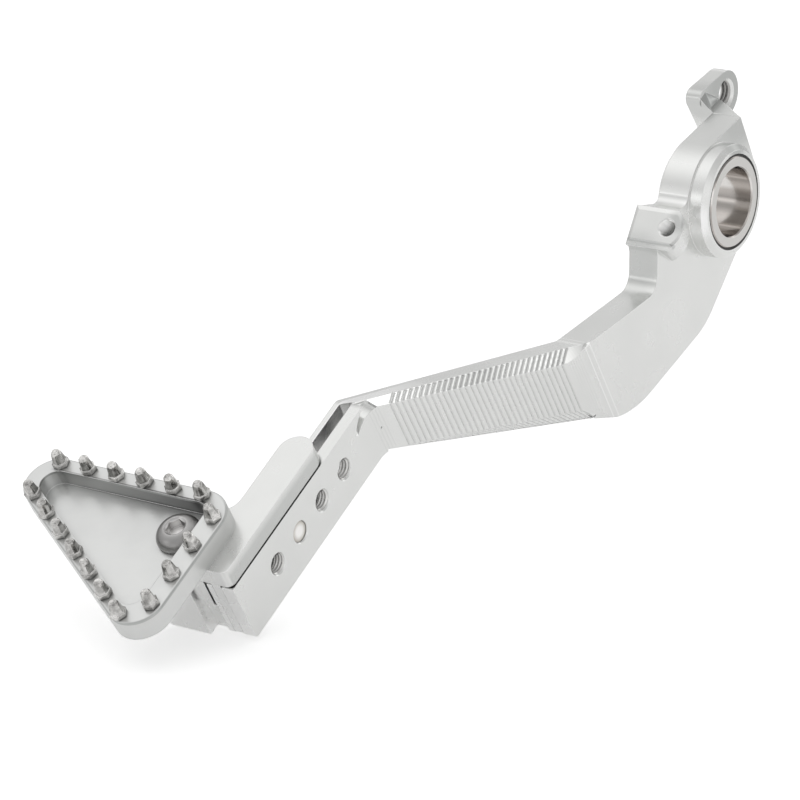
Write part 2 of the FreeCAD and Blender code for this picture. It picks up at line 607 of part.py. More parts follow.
def grip_stud(s, y, turn):
    """Stud with a hexagonal foot and a tapering six-sided point."""
    seat = on_tail(s, y, PAD_TOP)
    foot = Part.Face(hexagon(seat, ACROSS, STUD_FLATS, turn)).extrude(ACROSS * STUD_BASE_H)
    low = hexagon(seat + ACROSS * STUD_BASE_H, ACROSS, STUD_FLATS * 0.86, turn)
    high = hexagon(seat + ACROSS * STUD_H, ACROSS, STUD_FLATS * 0.45, turn)
    point = Part.makeLoft([low, high], True, True)
    shank = rod(seat - ACROSS * STUD_SHANK_L, ACROSS, STUD_SHANK_R, STUD_SHANK_L + 0.3)
    return foot.fuse([point, shank]).removeSplitter()


def main():
    boss_low = Y_OUT - BOSS_BACK
    nodes = {
        "lever_arm": lever_arm(),
        "pivot_sleeve": pivot_sleeve(),
        "dust_seal_inboard": dust_seal(-SLEEVE_PROUD, 1),
        "dust_seal_outboard": dust_seal(boss_low, -1),
        "pad_carrier": pad_carrier(),
        "carrier_screw": carrier_screw(),
        "toe_pad": toe_pad(),
        "pad_screw": pad_screw(),
    }
    for number, (s, y) in enumerate(stud_spots(), 1):
        nodes["grip_stud_%02d" % number] = grip_stud(s, y, (number * 23) % 60)
    for name, shape in nodes.items():
        print(name, len(shape.Solids), "solid", round(shape.Volume, 1), "mm3", shape.isValid())
        shape.exportStep("parts/" + name + ".step")


main()
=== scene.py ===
import math

import bmesh
import bpy
import numpy as np
from mathutils import Matrix, Vector


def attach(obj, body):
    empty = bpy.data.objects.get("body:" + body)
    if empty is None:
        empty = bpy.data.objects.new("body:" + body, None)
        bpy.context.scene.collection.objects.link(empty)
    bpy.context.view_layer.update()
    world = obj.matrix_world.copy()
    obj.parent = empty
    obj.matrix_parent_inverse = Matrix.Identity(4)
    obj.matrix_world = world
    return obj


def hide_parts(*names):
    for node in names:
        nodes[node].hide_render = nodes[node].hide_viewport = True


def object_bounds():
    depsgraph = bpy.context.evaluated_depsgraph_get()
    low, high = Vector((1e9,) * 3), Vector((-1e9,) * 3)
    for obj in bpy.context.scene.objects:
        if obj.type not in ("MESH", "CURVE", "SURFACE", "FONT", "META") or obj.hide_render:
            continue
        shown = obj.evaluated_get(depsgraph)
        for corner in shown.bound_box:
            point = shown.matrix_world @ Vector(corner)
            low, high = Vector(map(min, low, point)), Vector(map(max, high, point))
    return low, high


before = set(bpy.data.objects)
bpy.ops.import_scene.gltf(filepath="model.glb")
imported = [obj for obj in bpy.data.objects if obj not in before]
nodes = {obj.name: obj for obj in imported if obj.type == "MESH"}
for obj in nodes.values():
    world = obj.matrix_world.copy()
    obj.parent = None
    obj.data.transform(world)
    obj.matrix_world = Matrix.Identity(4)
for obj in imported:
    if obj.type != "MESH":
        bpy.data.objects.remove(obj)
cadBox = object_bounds()
mm = 0.001
perMetre = 1000.0  # millimetres in a metre

# the tail slopes down to the toe: directions along and across its row of holes
tailSlope = math.radians(31.8)
alongTailRow = (math.cos(tailSlope), 0.0, -math.sin(tailSlope))
acrossTailRow = (math.sin(tailSlope), 0.0, math.cos(tailSlope))
alongTail = Vector(alongTailRow)
acrossTail = Vector(acrossTailRow)
print("frame loaded")


def newMaterial(name):
    mat = bpy.data.materials.new(name)
    mat.use_nodes = True
    tree = mat.node_tree
    tree.nodes.clear()
    out = tree.nodes.new("ShaderNodeOutputMaterial")
    out.location = (600, 0)
    shader = tree.nodes.new("ShaderNodeBsdfPrincipled")
    shader.location = (300, 0)
    tree.links.new(shader.outputs["BSDF"], out.inputs["Surface"])
    return mat, tree, shader


def addNode(tree, kind, place=(0, 0), **settings):
    node = tree.nodes.new(kind)
    node.location = place
    for key, value in settings.items():
        setattr(node, key, value)
    return node


def mathNode(tree, operation, a, b=None, place=(0, 0), clamp=False):
    node = addNode(tree, "ShaderNodeMath", place, operation=operation, use_clamp=clamp)
    for index, value in enumerate((a, b)):
        if value is None:
            continue
        if isinstance(value, (int, float)):
            node.inputs[index].default_value = value
        else:
            tree.links.new(value, node.inputs[index])
    return node.outputs[0]


def newGroup(name, inputs, outputs):
    group = bpy.data.node_groups.new(name, "ShaderNodeTree")
    for label, kind, default in inputs:
        socket = group.interface.new_socket(label, in_out="INPUT", socket_type=kind)
        if default is not None:
            socket.default_value = default
    for label, kind in outputs:
        group.interface.new_socket(label, in_out="OUTPUT", socket_type=kind)
    start = group.nodes.new("NodeGroupInput")
    start.location = (-800, 0)
    end = group.nodes.new("NodeGroupOutput")
    end.location = (800, 0)
    return group, start, end


def placeGroup(tree, group, place=(0, 0), **values):
    node = addNode(tree, "ShaderNodeGroup", place, node_tree=group)
    for key, value in values.items():
        if isinstance(value, (int, float, tuple)):
            node.inputs[key].default_value = value
        else:
            tree.links.new(value, node.inputs[key])
    return node


# fine matt grain of blasted or tumbled metal: a height, and a mask that drifts over the surface
def makeGrainGroup():
    group, start, end = newGroup(
        "blastGrain",
        [("Position", "NodeSocketVector", None), ("Grain size", "NodeSocketFloat", 0.25),
         ("Drift size", "NodeSocketFloat", 18.0)],
        [("Height", "NodeSocketFloat"), ("Drift", "NodeSocketFloat")])
    perGrain = mathNode(group, "DIVIDE", perMetre, start.outputs["Grain size"], (-600, 200))
    fine = addNode(group, "ShaderNodeTexNoise", (-300, 200))
    fine.inputs["Detail"].default_value = 3.0
    fine.inputs["Roughness"].default_value = 0.6
    group.links.new(start.outputs["Position"], fine.inputs["Vector"])
    group.links.new(perGrain, fine.inputs["Scale"])
    perDrift = mathNode(group, "DIVIDE", perMetre, start.outputs["Drift size"], (-600, -200))
    broad = addNode(group, "ShaderNodeTexNoise", (-300, -200))
    broad.inputs["Detail"].default_value = 4.0
    broad.inputs["Roughness"].default_value = 0.55
    group.links.new(start.outputs["Position"], broad.inputs["Vector"])
    group.links.new(perDrift, broad.inputs["Scale"])
    group.links.new(fine.outputs["Fac"], end.inputs["Height"])
    group.links.new(broad.outputs["Fac"], end.inputs["Drift"])
    return group


# straight cutter marks, and lines of painted shade and painted highlight: parallel lines at a pitch in
# millimetres, 1 on each line
def makeToolMarkAndPaintedLineGroup():
    group, start, end = newGroup(
        "toolMarkAndPaintedLines",
        [("Position", "NodeSocketVector", None), ("Across", "NodeSocketVector", (1.0, 0.0, 0.0)),
         ("Pitch", "NodeSocketFloat", 0.5), ("Offset", "NodeSocketFloat", 0.0),
         ("Sharpness", "NodeSocketFloat", 1.0)],
        [("Mask", "NodeSocketFloat")])
    dot = addNode(group, "ShaderNodeVectorMath", (-600, 200), operation="DOT_PRODUCT")
    group.links.new(start.outputs["Position"], dot.inputs[0])
    group.links.new(start.outputs["Across"], dot.inputs[1])
    inMillimetres = mathNode(group, "MULTIPLY", dot.outputs["Value"], perMetre, (-450, 200))
    shifted = mathNode(group, "SUBTRACT", inMillimetres, start.outputs["Offset"], (-300, 200))
    phase = mathNode(group, "DIVIDE", shifted, start.outputs["Pitch"], (-150, 200))
    turn = mathNode(group, "MULTIPLY", phase, 2 * math.pi, (0, 200))
    wave = mathNode(group, "COSINE", turn, None, (150, 200))
    raised = mathNode(group, "ADD", wave, 1.0, (300, 200))
    half = mathNode(group, "MULTIPLY", raised, 0.5, (450, 200))
    sharp = mathNode(group, "POWER", half, start.outputs["Sharpness"], (600, 200))
    group.links.new(sharp, end.inputs["Mask"])
    return group


# a straight stripe with soft borders: middle, half width and softness in millimetres
def makeStripeGroup():
    group, start, end = newGroup(
        "softStripe",
        [("Position", "NodeSocketVector", None), ("Across", "NodeSocketVector", (1.0, 0.0, 0.0)),
         ("Middle", "NodeSocketFloat", 0.0), ("Half width", "NodeSocketFloat", 1.0),
         ("Softness", "NodeSocketFloat", 0.5)],
        [("Mask", "NodeSocketFloat")])
    dot = addNode(group, "ShaderNodeVectorMath", (-600, 0), operation="DOT_PRODUCT")
    group.links.new(start.outputs["Position"], dot.inputs[0])
    group.links.new(start.outputs["Across"], dot.inputs[1])
    inMillimetres = mathNode(group, "MULTIPLY", dot.outputs["Value"], perMetre, (-450, 0))
    off = mathNode(group, "SUBTRACT", inMillimetres, start.outputs["Middle"], (-300, 0))
    far = mathNode(group, "ABSOLUTE", off, None, (-150, 0))
    outside = mathNode(group, "SUBTRACT", far, start.outputs["Half width"], (0, 0))
    fade = mathNode(group, "DIVIDE", outside, start.outputs["Softness"], (150, 0), clamp=True)
    mask = mathNode(group, "SUBTRACT", 1.0, fade, (300, 0))
    group.links.new(mask, end.inputs["Mask"])
    return group


# softened edges: the rounded normal, and a mask that is 1 on an edge and 0 on open faces, which lightens the
# edges for wear and a painted highlight
def makeEdgeGroup():
    group, start, end = newGroup(
        "edgeWearAndHighlight",
        [("Radius", "NodeSocketFloat", 0.35 * mm), ("Strength", "NodeSocketFloat", 6.0)],
        [("Mask", "NodeSocketFloat"), ("Normal", "NodeSocketVector")])
    bevel = addNode(group, "ShaderNodeBevel", (-400, 200), samples=6)
    group.links.new(start.outputs["Radius"], bevel.inputs["Radius"])
    geometry = addNode(group, "ShaderNodeNewGeometry", (-400, -50))
    dot = addNode(group, "ShaderNodeVectorMath", (-150, 100), operation="DOT_PRODUCT")
    group.links.new(bevel.outputs["Normal"], dot.inputs[0])
    group.links.new(geometry.outputs["Normal"], dot.inputs[1])
    away = mathNode(group, "SUBTRACT", 1.0, dot.outputs["Value"], (50, 100))
    strong = mathNode(group, "MULTIPLY", away, start.outputs["Strength"], (200, 100), clamp=True)
    group.links.new(strong, end.inputs["Mask"])
    group.links.new(bevel.outputs["Normal"], end.inputs["Normal"])
    return group


# painted shade in corners, slots and holes: 1 deep inside, 0 on open faces
def makeRecessGroup():
    group, start, end = newGroup(
        "recessShade",
        [("Reach", "NodeSocketFloat", 3.0 * mm), ("Strength", "NodeSocketFloat", 1.0)],
        [("Mask", "NodeSocketFloat")])
    hollow = addNode(group, "ShaderNodeAmbientOcclusion", (-400, 0), samples=8)
    group.links.new(start.outputs["Reach"], hollow.inputs["Distance"])
    closed = mathNode(group, "SUBTRACT", 1.0, hollow.outputs["AO"], (-150, 0))
    slight = 0.06  # what the shallow curve of an open face closes off
    deep = mathNode(group, "SUBTRACT", closed, slight, (0, 0))
    strong = mathNode(group, "MULTIPLY", deep, start.outputs["Strength"], (150, 0), clamp=True)
    group.links.new(strong, end.inputs["Mask"])
    return group


# faces that look along the axis, either way, such as the turned ends of a sleeve
def makeEndFaceGroup():
    group, start, end = newGroup(
        "endFace", [("Axis", "NodeSocketVector", (0.0, 1.0, 0.0))], [("Mask", "NodeSocketFloat")])
    geometry = addNode(group, "ShaderNodeNewGeometry", (-600, 0))
    dot = addNode(group, "ShaderNodeVectorMath", (-400, 0), operation="DOT_PRODUCT")
    group.links.new(geometry.outputs["Normal"], dot.inputs[0])
    group.links.new(start.outputs["Axis"], dot.inputs[1])
    size = mathNode(group, "ABSOLUTE", dot.outputs["Value"], None, (-200, 0))
    mask = addNode(group, "ShaderNodeMapRange", (0, 0), interpolation_type="SMOOTHSTEP")
    mask.inputs["From Min"].default_value = 0.80
    mask.inputs["From Max"].default_value = 0.95
    group.links.new(size, mask.inputs["Value"])
    group.links.new(mask.outputs["Result"], end.inputs["Mask"])
    return group


# a soft round patch, for a speck, and for painted light and shade
def makePatchGroup():
    group, start, end = newGroup(
        "softPatch",
        [("Position", "NodeSocketVector", None), ("Centre", "NodeSocketVector", (0.0, 0.0, 0.0)),
         ("Radius", "NodeSocketFloat", 5.0 * mm), ("Strength", "NodeSocketFloat", 1.0)],
        [("Mask", "NodeSocketFloat")])
    far = addNode(group, "ShaderNodeVectorMath", (-500, 0), operation="DISTANCE")
    group.links.new(start.outputs["Position"], far.inputs[0])
    group.links.new(start.outputs["Centre"], far.inputs[1])
    inRadii = mathNode(group, "DIVIDE", far.outputs["Value"], start.outputs["Radius"], (-300, 0))
    fade = addNode(group, "ShaderNodeMapRange", (-100, 0), interpolation_type="SMOOTHSTEP")
    fade.inputs["From Min"].default_value = 0.35
    fade.inputs["From Max"].default_value = 1.0
    fade.inputs["To Min"].default_value = 1.0
    fade.inputs["To Max"].default_value = 0.0
    group.links.new(inRadii, fade.inputs["Value"])
    strong = mathNode(group, "MULTIPLY", fade.outputs["Result"], start.outputs["Strength"], (100, 0))
    group.links.new(strong, end.inputs["Mask"])
    return group


grainGroup = makeGrainGroup()
toolMarkAndPaintedLineGroup = makeToolMarkAndPaintedLineGroup()
edgeGroup = makeEdgeGroup()
recessGroup = makeRecessGroup()
endFaceGroup = makeEndFaceGroup()
patchGroup = makePatchGroup()
stripeGroup = makeStripeGroup()
print("shader groups made")


# in each finish below, the colour for recesses, with its reach and strength, is painted shade in corners,
# slots and holes
blastedAluminium = {
    "colour": (0.80, 0.803, 0.79), "dark": (0.765, 0.77, 0.757), "edge": (0.95, 0.95, 0.945),
    "shadeInRecess": (0.30, 0.30, 0.29), "shadeReach": 2.0, "shadeStrength": 0.12,
    "roughness": 0.27, "roughnessSpread": 0.04, "grainSize": 0.22, "grainDepth": 0.008, "edgeRadius": 0.3,
}
padAluminium = {
    "colour": (0.735, 0.74, 0.73), "dark": (0.68, 0.685, 0.677), "edge": (0.82, 0.82, 0.815),
    "shadeInRecess": (0.15, 0.15, 0.15), "shadeReach": 2.5, "shadeStrength": 0.35,
    "roughness": 0.34, "roughnessSpread": 0.05, "grainSize": 0.28, "grainDepth": 0.012, "edgeRadius": 0.35,
}
studSteel = {
    "colour": (0.80, 0.79, 0.77), "dark": (0.30, 0.295, 0.285), "edge": (0.98, 0.97, 0.96),
    "shadeInRecess": (0.05, 0.05, 0.05), "shadeReach": 1.4, "shadeStrength": 1.3, "driftSize": 2.2,
    "roughness": 0.11, "roughnessSpread": 0.05, "grainSize": 0.5, "grainDepth": 0.008, "edgeRadius": 0.16,
}
screwSteel = {
    "colour": (0.44, 0.435, 0.43), "dark": (0.34, 0.335, 0.33), "edge": (0.92, 0.91, 0.90),
    "shadeInRecess": (0.12, 0.12, 0.12), "shadeReach": 1.0, "shadeStrength": 0.25,
    "roughness": 0.34, "roughnessSpread": 0.08, "grainSize": 0.35, "grainDepth": 0.014, "edgeRadius": 0.25,
}
carrierScrewSteel = {
    "colour": (0.58, 0.55, 0.49), "dark": (0.50, 0.47, 0.42), "edge": (0.80, 0.77, 0.70),
    "shadeInRecess": (0.12, 0.12, 0.12), "shadeReach": 0.8, "shadeStrength": 1.0,
    "roughness": 0.36, "roughnessSpread": 0.06, "grainSize": 0.3, "grainDepth": 0.008, "edgeRadius": 0.2,
}
sleeveSteel = {
    "colour": (0.60, 0.565, 0.535), "dark": (0.50, 0.47, 0.445), "edge": (0.95, 0.94, 0.92),
    "shadeInRecess": (0.14, 0.13, 0.12), "shadeReach": 12.0, "shadeStrength": 0.7,
    "roughness": 0.13, "roughnessSpread": 0.03, "grainSize": 0.5, "grainDepth": 0.003, "edgeRadius": 0.2,
    "endAxis": (0.0, 1.0, 0.0), "endColour": (0.64, 0.63, 0.61), "endRoughness": 0.30,
}
threadAluminium = {
    "colour": (0.86, 0.855, 0.84), "dark": (0.70, 0.695, 0.68), "edge": (0.97, 0.97, 0.965),
    "shadeInRecess": (0.05, 0.05, 0.05), "shadeReach": 0.9, "shadeStrength": 1.3,
    "roughness": 0.24, "roughnessSpread": 0.06, "grainSize": 0.3, "grainDepth": 0.006, "edgeRadius": 0.1,
}
# a darker copy for the ear's thread: painted shade in that hole
earThreadInShade = dict(threadAluminium, colour=(0.50, 0.495, 0.48), dark=(0.34, 0.335, 0.33),
                          shadeInRecess=(0.03, 0.03, 0.03), shadeReach=2.0)
# a lighter copy for the lug's thread: painted light in that hole
lugThreadLit = dict(threadAluminium, colour=(0.97, 0.97, 0.96), dark=(0.92, 0.92, 0.91),
                          shadeInRecess=(0.5, 0.5, 0.5), shadeStrength=0.3)
sealNitrile = {"dark": (0.018, 0.018, 0.018), "light": (0.035, 0.034, 0.033), "roughness": 0.6,
               "grainDepth": 0.02}
evenDrift = 18.0  # size of the slow colour drift on the large pieces, in millimetres
grainStrength = 0.5

# local marks, in millimetres, most of them painted light and shade: patch, stripe, lines, or hollow for
# painted shade in grooves;
# "on" keeps a mark to the side faces or to the rims between them, "facing" to the faces that
# look one way, "within" to a second stripe, and "ramp" fades it along Y
# grey for painted shade, for a darker line round the pad's rim, and for the real cutter lines past the waist
paintedShadeAndToolMark = (0.42, 0.43, 0.42)
# near white for painted light
paintedLight = (0.97, 0.97, 0.965)
sideways = (0.0, 1.0, 0.0)
forward = (1.0, 0.0, 0.0)
upward = (0.0, 0.0, 1.0)
downLug = (0.5103, 0.0, -0.86)
grooveLean = math.radians(33.5)
acrossGrooves = (math.cos(grooveLean), 0.0, -math.sin(grooveLean))
lugEdge = (forward, 36.5, 2.0, 0.5)

armMarks = [
    # painted shade on the ear, horn and boss top
    {"kind": "patch", "centre": (-33.0, -21.4, 27.0), "radius": 28.0, "colour": paintedShadeAndToolMark,
     "strength": 0.88, "on": "side"},
    {"kind": "patch", "centre": (-12.0, -6.15, 27.0), "radius": 21.0, "colour": paintedShadeAndToolMark,
     "strength": 0.72, "on": "side"},
    {"kind": "patch", "centre": (-14.0, -22.4, 26.0), "radius": 12.0, "colour": paintedShadeAndToolMark,
     "strength": 0.40, "on": "rim"},
    {"kind": "patch", "centre": (-1.0, -0.8, 17.8), "radius": 7.0, "colour": paintedShadeAndToolMark, "strength": 0.8},
    # painted shade in the recess under the lug, and on the slanted face beside the ear
    {"kind": "patch", "centre": (38.0, -13.0, -14.0), "radius": 13.0, "colour": paintedShadeAndToolMark,
     "strength": 0.5, "on": "rim"},
    {"kind": "patch", "centre": (-18.9, -19.8, 27.0), "radius": 12.0, "colour": paintedShadeAndToolMark,
     "strength": 1.0, "facing": (0.0, 0.753, 0.658)},
    # painted light on the boss side and the tail end
    {"kind": "patch", "centre": (18.0, -4.0, -3.5), "radius": 8.5, "colour": paintedLight,
     "strength": 0.95, "on": "rim"},
    {"kind": "stripe", "across": alongTailRow, "middle": 243.7, "half": 1.2, "soft": 0.5,
     "colour": paintedLight, "strength": 0.95, "facing": alongTailRow},
    # painted shade in the grooves of the waist's chamfers
    {"kind": "hollow", "reach": 0.9, "colour": (0.28, 0.285, 0.28), "strength": 3.2, "on": "rim",
     "within": (sideways, -8.6, 1.6, 0.3)},
    # lug: painted shade on its inboard corner, and two lines of painted shade along its lower lip
    {"kind": "patch", "centre": (33.5, -1.2, 0.5), "radius": 5.5, "colour": paintedShadeAndToolMark, "strength": 0.55},
    {"kind": "stripe", "across": downLug, "middle": 24.65, "half": 0.30, "soft": 0.45,
     "colour": paintedShadeAndToolMark, "strength": 0.60, "on": "rim", "within": lugEdge},
    {"kind": "stripe", "across": downLug, "middle": 26.80, "half": 0.25, "soft": 0.35,
     "colour": paintedShadeAndToolMark, "strength": 0.30, "on": "rim", "within": lugEdge},
    # painted light in the slot, and a dark speck on the side of the tail
    {"kind": "patch", "centre": (189.0, -13.1, -27.0), "radius": 40.0, "colour": (0.985, 0.985, 0.98),
     "strength": 1.0, "within": (sideways, -13.1, 1.75, 0.1)},
    {"kind": "patch", "centre": (181.8, -7.36, -30.8), "radius": 0.45, "colour": (0.10, 0.10, 0.10),
     "strength": 0.8, "on": "side"},
    # painted shade along the grooves, then the fine cutter lines past their two ends
    {"kind": "lines", "across": acrossGrooves, "pitch": 2.2347, "offset": 92.33, "sharpness": 2.2,
     "middle": 127.0, "half": 35.7, "soft": 0.3, "colour": paintedShadeAndToolMark, "strength": 0.30, "on": "side"},
    {"kind": "lines", "across": acrossGrooves, "pitch": 1.30, "offset": 166.6, "sharpness": 5.0,
     "middle": 168.6, "half": 2.4, "soft": 1.0, "colour": paintedShadeAndToolMark, "strength": 0.16, "on": "side"},
    {"kind": "lines", "across": acrossGrooves, "pitch": 1.15, "offset": 88.6, "sharpness": 5.0,
     "middle": 86.6, "half": 2.6, "soft": 0.8, "colour": paintedShadeAndToolMark, "strength": 0.13, "on": "side"},
    # two painted highlights at the rear end of the waist, on the edges of its ramp
    {"kind": "lines", "across": acrossGrooves, "pitch": 1.75, "offset": 81.06, "sharpness": 16.0,
     "middle": 80.2, "half": 1.5, "soft": 0.2, "colour": (1.0, 1.0, 0.995), "strength": 0.75},
]
padMarks = [
    # painted shade on the pocket's rear edge, stronger towards the bike, and a darker line round the top of
    # the rim
    {"kind": "stripe", "across": alongTailRow, "middle": 227.06, "half": 0.35, "soft": 0.25,
     "ramp": (-78.0, -30.0, 0.25, 0.92), "colour": (0.13, 0.13, 0.13), "strength": 1.0, "on": "rim",
     "within": (sideways, -48.5, 26.5, 1.5)},
    {"kind": "stripe", "across": acrossTailRow, "middle": 93.75, "half": 0.25, "soft": 0.2,
     "colour": paintedShadeAndToolMark, "strength": 0.75},
]
carrierMarks = [
    # painted shade in a band on the side faces, just above the gap under the cap
    {"kind": "stripe", "across": acrossTailRow, "middle": 83.6, "half": 1.6, "soft": 2.2,
     "colour": paintedShadeAndToolMark, "strength": 0.5, "on": "side"},
    # painted light on the side faces of the lower block
    {"kind": "stripe", "across": acrossTailRow, "middle": 71.0, "half": 9.5, "soft": 0.5,
     "colour": paintedLight, "strength": 1.0, "on": "side"},
    # painted light on the carrier's end
    {"kind": "stripe", "across": alongTailRow, "middle": 246.5, "half": 3.0, "soft": 1.0,
     "colour": paintedLight, "strength": 0.7, "facing": alongTailRow},
]
screwSocket = (249.07, -27.0, -46.18)
screwMarks = [
    # painted highlight in the socket, and painted shade on the faces there that look along the screw
    {"kind": "patch", "centre": screwSocket, "radius": 4.3, "colour": (0.99, 0.98, 0.97), "strength": 1.0},
    {"kind": "patch", "centre": screwSocket, "radius": 5.0, "colour": (0.04, 0.04, 0.04),
     "strength": 1.0, "facing": alongTailRow},
]
carrierScrewMarks = [
    {"kind": "patch", "centre": (219.79, -7.35, -51.09), "radius": 3.3, "colour": (0.97, 0.96, 0.94),
     "strength": 1.0, "on": "side"},
]
sleeveMarks = [
    # painted highlight and painted shade in bands along the bore
    {"kind": "stripe", "across": upward, "middle": 4.0, "half": 1.8, "soft": 1.4,
     "colour": (0.88, 0.86, 0.84), "strength": 0.75, "on": "rim"},
    {"kind": "stripe", "across": upward, "middle": -2.9, "half": 1.8, "soft": 1.8,
     "colour": (0.30, 0.285, 0.27), "strength": 0.50, "on": "rim"},
    {"kind": "stripe", "across": upward, "middle": 11.5, "half": 2.6, "soft": 1.0,
     "colour": (0.22, 0.21, 0.20), "strength": 0.75, "on": "rim"},
    {"kind": "stripe", "across": upward, "middle": -11.5, "half": 2.2, "soft": 1.5,
     "colour": (0.22, 0.21, 0.20), "strength": 0.20, "on": "rim"},
]


def mixColours(tree, under, over, factor, place):
    mix = addNode(tree, "ShaderNodeMix", place, data_type="RGBA")
    for socket, value in (("A", under), ("B", over)):
        if isinstance(value, tuple):
            mix.inputs[socket].default_value = (*value, 1)
        else:
            tree.links.new(value, mix.inputs[socket])
    tree.links.new(factor, mix.inputs["Factor"])
    return mix.outputs["Result"]


# one local mark as a mask
def markMask(tree, mark, place, sides, height):
    if mark["kind"] == "patch":
        node = placeGroup(tree, patchGroup, (-1000, height), Position=place, Radius=mark["radius"] * mm,
                          Strength=mark["strength"])
        node.inputs["Centre"].default_value = tuple(v * mm for v in mark["centre"])
        mask = node.outputs["Mask"]
    elif mark["kind"] == "hollow":
        mask = placeGroup(tree, recessGroup, (-1000, height), Reach=mark["reach"] * mm,
                          Strength=mark["strength"]).outputs["Mask"]
    else:
        node = placeGroup(tree, stripeGroup, (-1000, height), Position=place, Across=mark["across"],
                          Middle=mark["middle"], Softness=mark["soft"])
        node.inputs["Half width"].default_value = mark["half"]
        mask = mathNode(tree, "MULTIPLY", node.outputs["Mask"], mark["strength"], (-800, height))
    if mark["kind"] == "lines":
        lines = placeGroup(tree, toolMarkAndPaintedLineGroup, (-1000, height - 120), Position=place, Across=mark["across"],
                           Pitch=mark["pitch"], Offset=mark["offset"], Sharpness=mark["sharpness"])
        mask = mathNode(tree, "MULTIPLY", mask, lines.outputs["Mask"], (-650, height))
    if "ramp" in mark:
        low, high, atLow, atHigh = mark["ramp"]
        split = addNode(tree, "ShaderNodeSeparateXYZ", (-1000, height - 240))
        tree.links.new(place, split.inputs[0])
        ramp = addNode(tree, "ShaderNodeMapRange", (-800, height - 240))
        ends = {"From Min": low * mm, "From Max": high * mm, "To Min": atLow, "To Max": atHigh}
        for label, value in ends.items():
            ramp.inputs[label].default_value = value
        tree.links.new(split.outputs["Y"], ramp.inputs["Value"])
        mask = mathNode(tree, "MULTIPLY", mask, ramp.outputs["Result"], (-650, height - 120))
    if "within" in mark:
        across, middle, half, soft = mark["within"]
        limit = placeGroup(tree, stripeGroup, (-1000, height - 120), Position=place, Across=across,
                           Middle=middle, Softness=soft)
        limit.inputs["Half width"].default_value = half
        mask = mathNode(tree, "MULTIPLY", mask, limit.outputs["Mask"], (-650, height - 60))
    if "facing" in mark:
        faces = placeGroup(tree, endFaceGroup, (-800, height - 120), Axis=mark["facing"])
        mask = mathNode(tree, "MULTIPLY", mask, faces.outputs["Mask"], (-600, height - 60))
    if mark.get("on") == "side":
        mask = mathNode(tree, "MULTIPLY", mask, sides, (-500, height))
    if mark.get("on") == "rim":
        rims = mathNode(tree, "SUBTRACT", 1.0, sides, (-650, height - 60))
        mask = mathNode(tree, "MULTIPLY", mask, rims, (-500, height))
    return mask


def metalMaterial(name, finish, marks=()):
    mat, tree, shader = newMaterial(name)
    coords = addNode(tree, "ShaderNodeTexCoord", (-1300, 0))
    place = coords.outputs["Object"]
    grain = placeGroup(tree, grainGroup, (-1000, 300), Position=place)
    grain.inputs["Grain size"].default_value = finish["grainSize"]
    grain.inputs["Drift size"].default_value = finish.get("driftSize", evenDrift)
    edge = placeGroup(tree, edgeGroup, (-1000, -150), Radius=finish["edgeRadius"] * mm)
    shadeInRecess = placeGroup(tree, recessGroup, (-1000, -350), Reach=finish["shadeReach"] * mm,
                      Strength=finish["shadeStrength"])
    spread = addNode(tree, "ShaderNodeMapRange", (-800, 500))
    spread.inputs["From Min"].default_value = 0.35
    spread.inputs["From Max"].default_value = 0.65
    tree.links.new(grain.outputs["Drift"], spread.inputs["Value"])
    colour = mixColours(tree, finish["dark"], finish["colour"], spread.outputs["Result"], (-600, 400))
    rough = addNode(tree, "ShaderNodeMapRange", (-250, 0))
    rough.inputs["To Min"].default_value = finish["roughness"] - finish["roughnessSpread"]
    rough.inputs["To Max"].default_value = finish["roughness"] + finish["roughnessSpread"]
    tree.links.new(grain.outputs["Drift"], rough.inputs["Value"])
    roughness = rough.outputs["Result"]
    if "endAxis" in finish:
        ends = placeGroup(tree, endFaceGroup, (-1000, 50), Axis=finish["endAxis"])
        colour = mixColours(tree, colour, finish["endColour"], ends.outputs["Mask"], (-450, 400))
        turned = addNode(tree, "ShaderNodeMix", (-100, 0), data_type="FLOAT")
        turned.inputs["B"].default_value = finish["endRoughness"]
        tree.links.new(roughness, turned.inputs["A"])
        tree.links.new(ends.outputs["Mask"], turned.inputs["Factor"])
        roughness = turned.outputs["Result"]
    # painted shade in corners, slots and holes
    colour = mixColours(tree, colour, finish["shadeInRecess"], shadeInRecess.outputs["Mask"], (-300, 400))
    if marks:
        sides = placeGroup(tree, endFaceGroup, (-1300, -400)).outputs["Mask"]
    for index, mark in enumerate(marks):
        mask = markMask(tree, mark, place, sides, -600 - 300 * index)
        colour = mixColours(tree, colour, mark["colour"], mask, (-200 + 40 * index, 500))
    # lighter edges: partly wear, partly a painted highlight
    colour = mixColours(tree, colour, finish["edge"], edge.outputs["Mask"], (0, 400))
    tree.links.new(colour, shader.inputs["Base Color"])
    tree.links.new(roughness, shader.inputs["Roughness"])
    shader.inputs["Metallic"].default_value = 1.0
    bump = addNode(tree, "ShaderNodeBump", (0, -250))
    bump.inputs["Strength"].default_value = grainStrength
    bump.inputs["Distance"].default_value = finish["grainDepth"] * mm
    tree.links.new(grain.outputs["Height"], bump.inputs["Height"])
    tree.links.new(edge.outputs["Normal"], bump.inputs["Normal"])
    tree.links.new(bump.outputs["Normal"], shader.inputs["Normal"])
    return mat


